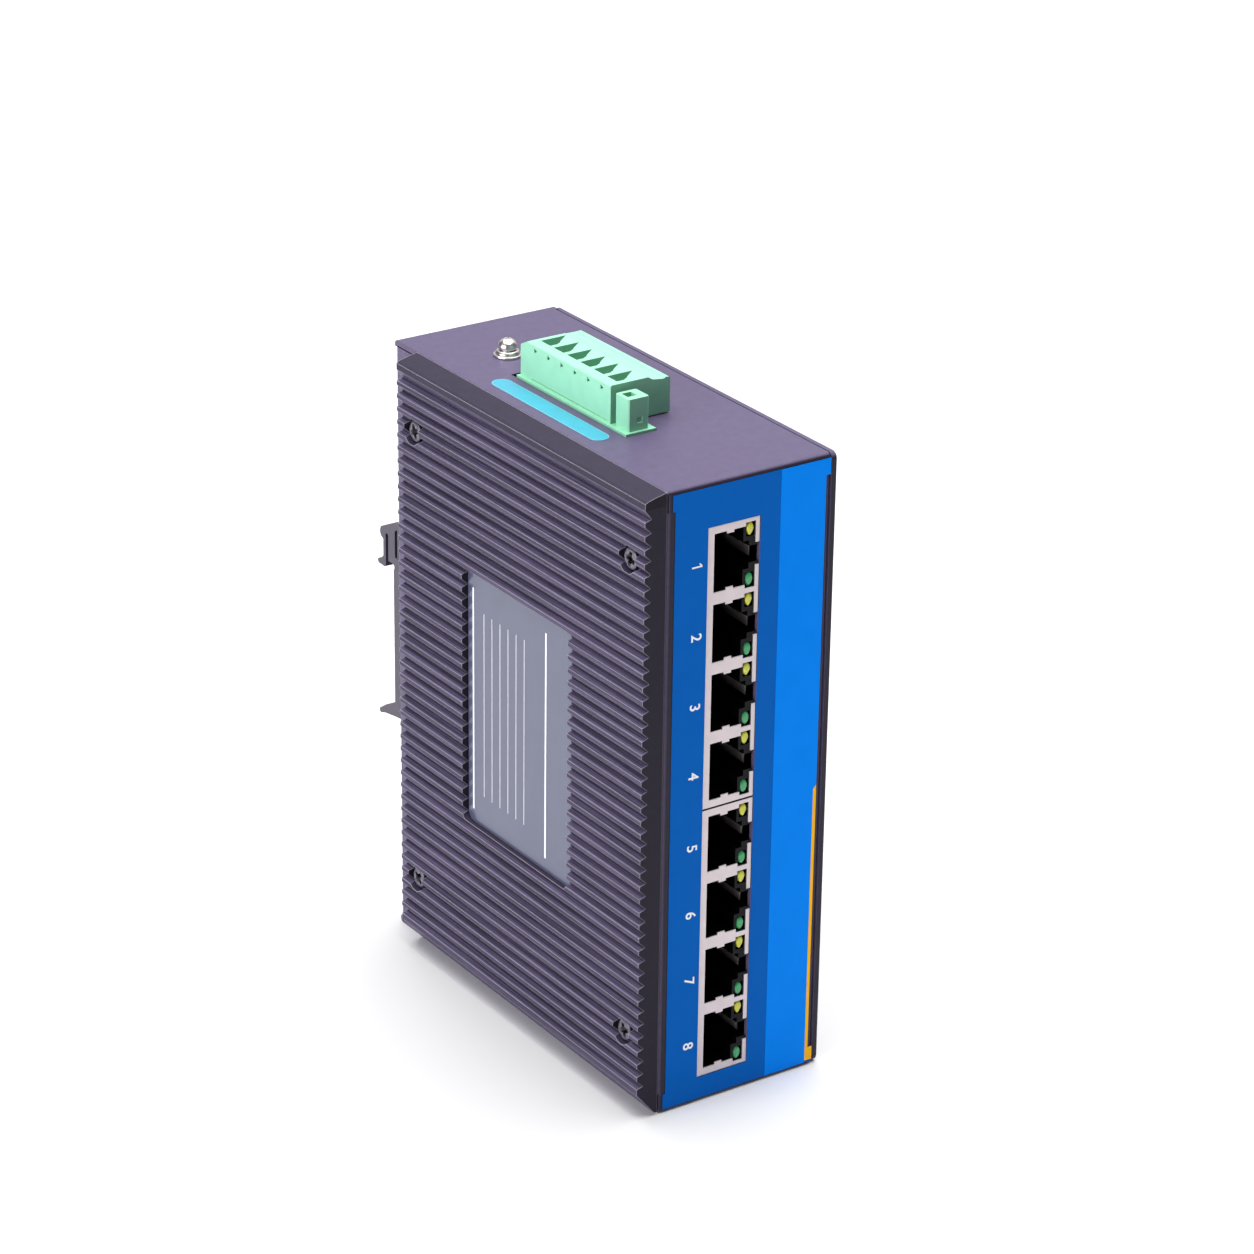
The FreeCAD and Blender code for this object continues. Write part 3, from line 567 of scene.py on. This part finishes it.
# SOCKET BLOCKS
# Each block is a black moulding in a shield of tinned steel. Gold plated wires
# lie in each socket, and two clear light guides sit at its latch side.
sockets_per_block = 4
socket_pitch = 13.97 * mm
black_plastic = (0.0018, 0.0018, 0.0020)
matt = {"Specular IOR Level": 0.0}
socket_black = bare_finish("socket_black", black_plastic, 0.6, matt)
socket_colour = drift(socket_black, black_plastic, 1.5 * mm, 0.06)
# Painted light on the moulding's faces that look to the front, and painted shade in its
# hollows.
socket_colour = on_faces(socket_black, socket_colour, to_front, 14.0)
socket_colour = dark_hollows(socket_black, socket_colour, 5 * mm, 0.02)
paint(socket_black, socket_colour)
rough_up(socket_black, 0.3 * mm, 0.002 * mm, 0.1 * mm)

shield_tin = (0.62, 0.55, 0.57)
shield_edge_highlight = (0.95, 0.92, 0.93)
tinned_shield = bare_finish("tinned_shield", shield_tin, 0.42, {"Metallic": 0.55})
shield_colour = drift(tinned_shield, shield_tin, 2.0 * mm, 0.03)
# Painted shade in the shield's hollows and a painted highlight on its edges.
shield_colour = dark_hollows(tinned_shield, shield_colour, 5 * mm, 0.02)
shield_colour = edge_tint(tinned_shield, shield_colour, shield_edge_highlight, 0.12 * mm, 0.9)
paint(tinned_shield, shield_colour)
rough_up(tinned_shield, 0.5 * mm, 0.0015 * mm, 0.08 * mm)
gold_wire = plated_steel("gold_wire", (0.30, 0.20, 0.08), 0.35)


def light_guide(name, colour, highlight_colour):
    """A clear tinted plastic that lets some light in, with a painted highlight on its
    edges.
    """
    traits = {
        "Subsurface Weight": 0.25,
        "Subsurface Radius": (0.6 * mm, 0.5 * mm, 0.3 * mm),
        "Coat Weight": 0.5,
    }
    finish = bare_finish(name, colour, 0.25, traits)
    guide_colour = drift(finish, colour, 0.7 * mm, 0.10)
    # Painted highlight on the guide's edges.
    guide_colour = edge_tint(finish, guide_colour, highlight_colour, 0.15 * mm, 0.5)
    paint(finish, guide_colour)
    rough_up(finish, 0.4 * mm, 0.002 * mm, 0.05 * mm)
    return finish


guide_crown = 0.5 * mm
guide_sides = 28
crown_rings = ((0.25, 0.0), (0.55, 0.06), (0.80, 0.24), (0.94, 0.55), (1.0, 1.0))


def light_guides(name, node, finish, taper):
    """Posts with an oval, crowned end, one to a socket. A taper narrows the
    foot of the oval."""
    low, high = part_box(node)
    middle_x = (low[0] + high[0]) / 2
    half_x = (high[0] - low[0]) / 2
    half_z = (high[2] - low[2] - (sockets_per_block - 1) * socket_pitch) / 2
    loops = [(share, low[1] + fall * guide_crown) for share, fall in crown_rings]
    loops.append((1.0, high[1]))
    posts = bmesh.new()
    for lamp in range(sockets_per_block):
        middle_z = low[2] + half_z + lamp * socket_pitch
        rings = []
        for share, y in loops:
            ring = []
            for side in range(guide_sides):
                angle = 2 * math.pi * side / guide_sides
                up = math.sin(angle)
                narrowed = 1 - taper * max(0.0, -up)
                x = middle_x + half_x * share * math.cos(angle) * narrowed
                ring.append(posts.verts.new((x, y, middle_z + half_z * share * up)))
            rings.append(ring)
        for near, far in zip(rings, rings[1:]):
            for side in range(guide_sides):
                other = (side + 1) % guide_sides
                posts.faces.new((near[side], near[other], far[other], far[side]))
        posts.faces.new(rings[0])
        posts.faces.new(rings[-1][::-1])
    bmesh.ops.recalc_face_normals(posts, faces=posts.faces)
    for face in posts.faces:
        face.smooth = len(face.verts) == 4
    piece = keep_mesh(posts, name)
    piece.data.materials.append(finish)
    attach(piece, "root")
    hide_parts(node)
    return piece


yellow_guide = light_guide("yellow_guide", (0.60, 0.60, 0.04), (0.88, 0.88, 0.22))
green_guide = light_guide("green_guide", (0.02, 0.31, 0.10), (0.35, 0.80, 0.48))
for place in ("upper", "lower"):
    coat("jack_housing_" + place, socket_black)
    coat("jack_shield_" + place, tinned_shield)
    coat("jack_contacts_" + place, gold_wire)
    name = "yellow_guides_" + place
    piece = light_guides(name, "yellow_lamps_" + place, yellow_guide, 0.45)
    name = "green_guides_" + place
    piece = light_guides(name, "green_lamps_" + place, green_guide, 0.15)

# RIGHT COVER
# A flat steel sheet with rounded corners closes the right side. It is coated
# like the case and held by four countersunk screws.
coat("right_cover", case_coat)

# FRONT LABEL
# The label is a satin polycarbonate film, printed dark blue with a lighter
# field at the right and an orange stripe. White numbers count the sockets.


def printed_film(name, colour):
    """A satin film or its ink."""
    finish = bare_finish(name, colour, 0.42, {"Specular IOR Level": 0.03})
    paint(finish, drift(finish, colour, 6.0 * mm, 0.02))
    rough_up(finish, 0.3 * mm, 0.002 * mm, 0.05 * mm)
    return finish


dark_film = printed_film("dark_film", (0.001, 0.118, 0.50))
light_film = printed_film("light_film", (0.0, 0.24, 0.94))
orange_film = printed_film("orange_film", (0.98, 0.50, 0.015))
white_ink = printed_film("white_ink", (0.93, 0.95, 0.98))
coat("front_label", dark_film)
coat("light_blue_field", light_film)
coat("orange_stripe", orange_film)

print_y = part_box("light_blue_field")[0][1]
number_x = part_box("case_sheet")[0][0] + 6.7 * mm
number_lift = 0.3 * mm
number_height = 2.3 * mm
capital_share = 0.72
stroke_growth = 0.045 * mm
ink_depth = 0.02 * mm


def one_with_flag():
    """The number one, with its flag, as a flat piece about the origin."""
    corners = (
        (-0.07, -0.50), (0.07, -0.50), (0.07, 0.50), (-0.05, 0.50),
        (-0.27, 0.31), (-0.27, 0.17), (-0.07, 0.31),
    )
    flat = bmesh.new()
    loops = []
    for height in (ink_depth, 0):
        ring = []
        for x, y in corners:
            ring.append(flat.verts.new((x * number_height, y * number_height, height)))
        loops.append(ring)
    close_up(flat, loops[0], loops[1])
    return keep_mesh(flat, "socket_number_1")


def plain_digit(number):
    """A number in a plain face, as a flat piece about the origin."""
    digit = bpy.data.curves.new("number_%d" % number, "FONT")
    digit.body = str(number)
    digit.size = number_height / capital_share
    digit.align_x = "CENTER"
    digit.align_y = "CENTER"
    digit.offset = stroke_growth
    digit.extrude = ink_depth / 2
    piece = bpy.data.objects.new("socket_number_%d" % number, digit)
    bpy.context.collection.objects.link(piece)
    return piece


face_front_on_side = Matrix(((0, 1, 0), (0, 0, -1), (-1, 0, 0))).to_4x4()
number = 0
for place in ("upper", "lower"):
    low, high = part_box("jack_shield_" + place)
    block_middle = (low[2] + high[2]) / 2
    for row in range(sockets_per_block):
        number += 1
        up = ((sockets_per_block - 1) / 2 - row) * socket_pitch + number_lift
        piece = one_with_flag() if number == 1 else plain_digit(number)
        piece.data.materials.append(white_ink)
        spot = Matrix.Translation((number_x, print_y, block_middle + up))
        piece.matrix_world = spot @ face_front_on_side
        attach(piece, "root")

# RATING LABEL
# A glossy grey label lies in the plate's pocket. It carries two white rules
# and the ruled lines of a table.
label_colour = (0.077, 0.086, 0.157)
label_grey = bare_finish("label_grey", label_colour, 0.3, {"Coat Weight": 0.4})
paint(label_grey, drift(label_grey, label_colour, 5 * mm, 0.04))
rough_up(label_grey, 0.8 * mm, 0.002 * mm, 0.1 * mm)
coat("rating_label", label_grey)
coat("rating_label_lines", white_ink)

# RAIL CLIP
# The clip is one aluminium extrusion, anodised dark and cut to length. Two
# screws hold it to the back of the case.
clip_colour = (0.075, 0.063, 0.095)
clip_edge_highlight = (0.2, 0.18, 0.24)
clip_anodised = bare_finish("clip_anodised", clip_colour, 0.42, {"Metallic": 0.3})
clip_paint = drift(clip_anodised, clip_colour, 1.5 * mm, 0.06)
clip_paint = fleck(clip_anodised, clip_paint, 0.25 * mm, 0.15)
# Painted highlight on the clip's edges.
clip_paint = edge_tint(clip_anodised, clip_paint, clip_edge_highlight, 0.12 * mm, 0.5)
paint(clip_anodised, clip_paint)
rough_up(clip_anodised, 0.3 * mm, 0.006 * mm, 0.12 * mm, (0.02, 1, 1))
coat("rail_clip", clip_anodised)

# EARTH SCREW
# A nickel plated screw with a high round head, on a cupped lock washer and a
# flat washer. Its nut is pressed into the top of the case.
nickel = plated_steel("nickel", (0.80, 0.77, 0.75), 0.28, 0.03)
earth_bore = 1.65 * mm
washer_edge = 0.12 * mm
washer_steps = 64
for name, node, crown_radius in (
    ("flat_washer", "earth_washer", 2.70 * mm),
    ("cup_washer", "earth_lock_washer", 2.05 * mm),
):
    low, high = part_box(node)
    radius = (high[0] - low[0]) / 2
    outline = [
        (earth_bore, low[2]),
        (radius - washer_edge, low[2]),
        (radius, low[2] + washer_edge),
        (radius, low[2] + 1.5 * washer_edge),
        (crown_radius + washer_edge, high[2] - washer_edge / 2),
        (crown_radius, high[2]),
        (earth_bore, high[2]),
        (earth_bore, low[2]),
    ]
    middle = ((low[0] + high[0]) / 2, (low[1] + high[1]) / 2, 0)
    washer = revolve(outline, washer_steps)
    bmesh.ops.remove_doubles(washer, verts=washer.verts, dist=same_point)
    bmesh.ops.translate(washer, verts=washer.verts, vec=middle)
    piece = keep_mesh(washer, name)
    piece.data.materials.append(nickel)
    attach(piece, "root")
    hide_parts(node)

low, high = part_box("earth_screw")
dome_radius = (high[0] - low[0]) / 2
dome_height = 2.0 * mm
dome_rise = dome_height * 0.83
dome_foot = dome_radius * 0.96
dome_steps = 8
dome_head = [(0, 0)]
for step in range(1, dome_steps + 1):
    angle = math.radians(90 - step * 90 / dome_steps)
    fall = dome_rise * (1 - math.sin(angle))
    dome_head.append((dome_radius * math.cos(angle), -fall))
dome_head.append((dome_foot, -dome_height))
length = high[2] - low[2] - dome_height
screw = cross_head_screw(
    dome_head, length, reach=0.75 * mm, half_arm=0.17 * mm, depth=0.6 * mm, steps=64
)
crown = ((low[0] + high[0]) / 2, (low[1] + high[1]) / 2, high[2])
piece = set_of_screws("round_earth_screw", screw, [crown], (0, 0, 1), nickel)
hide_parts("earth_screw")
coat("earth_nut", zinc)

# TERMINAL BLOCK
# The header and the plug are mouldings of the same mint green plastic. The
# cages are brass, and each has a steel screw.
mint_edge_highlight = (0.62, 0.95, 0.80)


def mint_plastic(name, colour):
    """A moulded green plastic, with a painted highlight on its edges and painted shade
    on the faces that look to the front.
    """
    finish = bare_finish(name, colour, 0.40, {"Specular IOR Level": 0.3})
    plastic_colour = drift(finish, colour, 3.0 * mm, 0.03)
    plastic_colour = edge_tint(finish, plastic_colour, mint_edge_highlight, 0.1 * mm, 0.6)
    plastic_colour = on_faces(finish, plastic_colour, to_front, 0.5)
    paint(finish, plastic_colour)
    rough_up(finish, 0.3 * mm, 0.0015 * mm, 0.1 * mm)
    return finish


coat("terminal_header", mint_plastic("header_green", (0.34, 0.78, 0.53)))
coat("terminal_plug", mint_plastic("plug_green", (0.36, 0.80, 0.56)))
coat("header_pins", nickel)
coat("wire_cages", plated_steel("brass", (0.80, 0.60, 0.30), 0.3))
coat("wire_screws", zinc)

# TERMINAL LABEL
# A pale blue sticker with round ends lies on the top, beside the terminal
# block. A painted highlight makes it lighter along the edge.
pale_blue = (0.05, 0.40, 0.56)
pale_edge_highlight = (0.45, 0.85, 0.95)
pale_film = bare_finish("pale_film", pale_blue, 0.35)
pale_colour = drift(pale_film, pale_blue, 3 * mm, 0.05)
# Painted highlight along the sticker's edge.
pale_colour = edge_tint(pale_film, pale_colour, pale_edge_highlight, 0.25 * mm, 0.9)
paint(pale_film, pale_colour)
rough_up(pale_film, 0.4 * mm, 0.002 * mm, 0.05 * mm)
coat("terminal_label", pale_film)

# FLOOR AND LIGHT
# A pale floor in a dim white room, a broad soft lamp overhead and a low one at
# the left. Most of the light on the front comes back from the floor.
floor_half = 3.0
floor_pale = (0.9, 0.9, 0.9)
floor_finish = bare_finish("floor_finish", floor_pale, 0.8, {"Specular IOR Level": 0.1})
paint(floor_finish, drift(floor_finish, floor_pale, 0.2, 0.01))
ground = bmesh.new()
corners = []
for x, y in ((-1, -1), (1, -1), (1, 1), (-1, 1)):
    corners.append(ground.verts.new((x * floor_half, y * floor_half, 0)))
ground.faces.new(corners)
floor = keep_mesh(ground, "floor")
floor.data.materials.append(floor_finish)

scene = bpy.context.scene
scene.view_settings.view_transform = "Standard"
room = bpy.data.worlds.new("room")
room.use_nodes = True
room_light = room.node_tree.nodes["Background"]
room_light.inputs["Color"].default_value = (1.0, 1.0, 1.0, 1)
room_light.inputs["Strength"].default_value = 0.12
scene.world = room

lamp_aim = Vector((0, 0, 0.06))
for name, spot, width, power in (
    ("top_lamp", (0.1, 0.1, 1.3), 1.6, 30.0),
    ("left_lamp", (-1.25, -0.1, 0.3), 1.0, 14.0),
    ("back_lamp", (0.50, 1.40, 0.8), 1.6, 4.0),
    ("right_lamp", (1.3, 0.5, 0.9), 1.4, 4.0),
):
    lamp_data = bpy.data.lights.new(name, "AREA")
    lamp_data.size = width
    lamp_data.energy = power
    lamp = bpy.data.objects.new(name, lamp_data)
    lamp.location = spot
    turn = (lamp_aim - Vector(spot)).to_track_quat("-Z", "Y")
    lamp.rotation_euler = turn.to_euler()
    bpy.context.collection.objects.link(lamp)

# CAMERA
# It looks down on the switch from the front left, with a long lens, and is
# rolled by less than a degree.
camera_place = Vector((-0.41529, -0.61599, 0.40929))
camera_aim = Vector((0.007666, 0.003372, 0.076455))
camera_roll = math.radians(0.762)
camera_data = bpy.data.cameras.new("camera")
camera_data.sensor_width = 36.0
camera_data.lens = 120.97
camera_data.clip_start = 0.01
camera = bpy.data.objects.new("camera", camera_data)
camera.location = camera_place
turn = (camera_aim - camera_place).to_track_quat("-Z", "Y")
camera.rotation_euler = (turn @ Quaternion((0, 0, 1), camera_roll)).to_euler()
bpy.context.collection.objects.link(camera)
scene.camera = camera
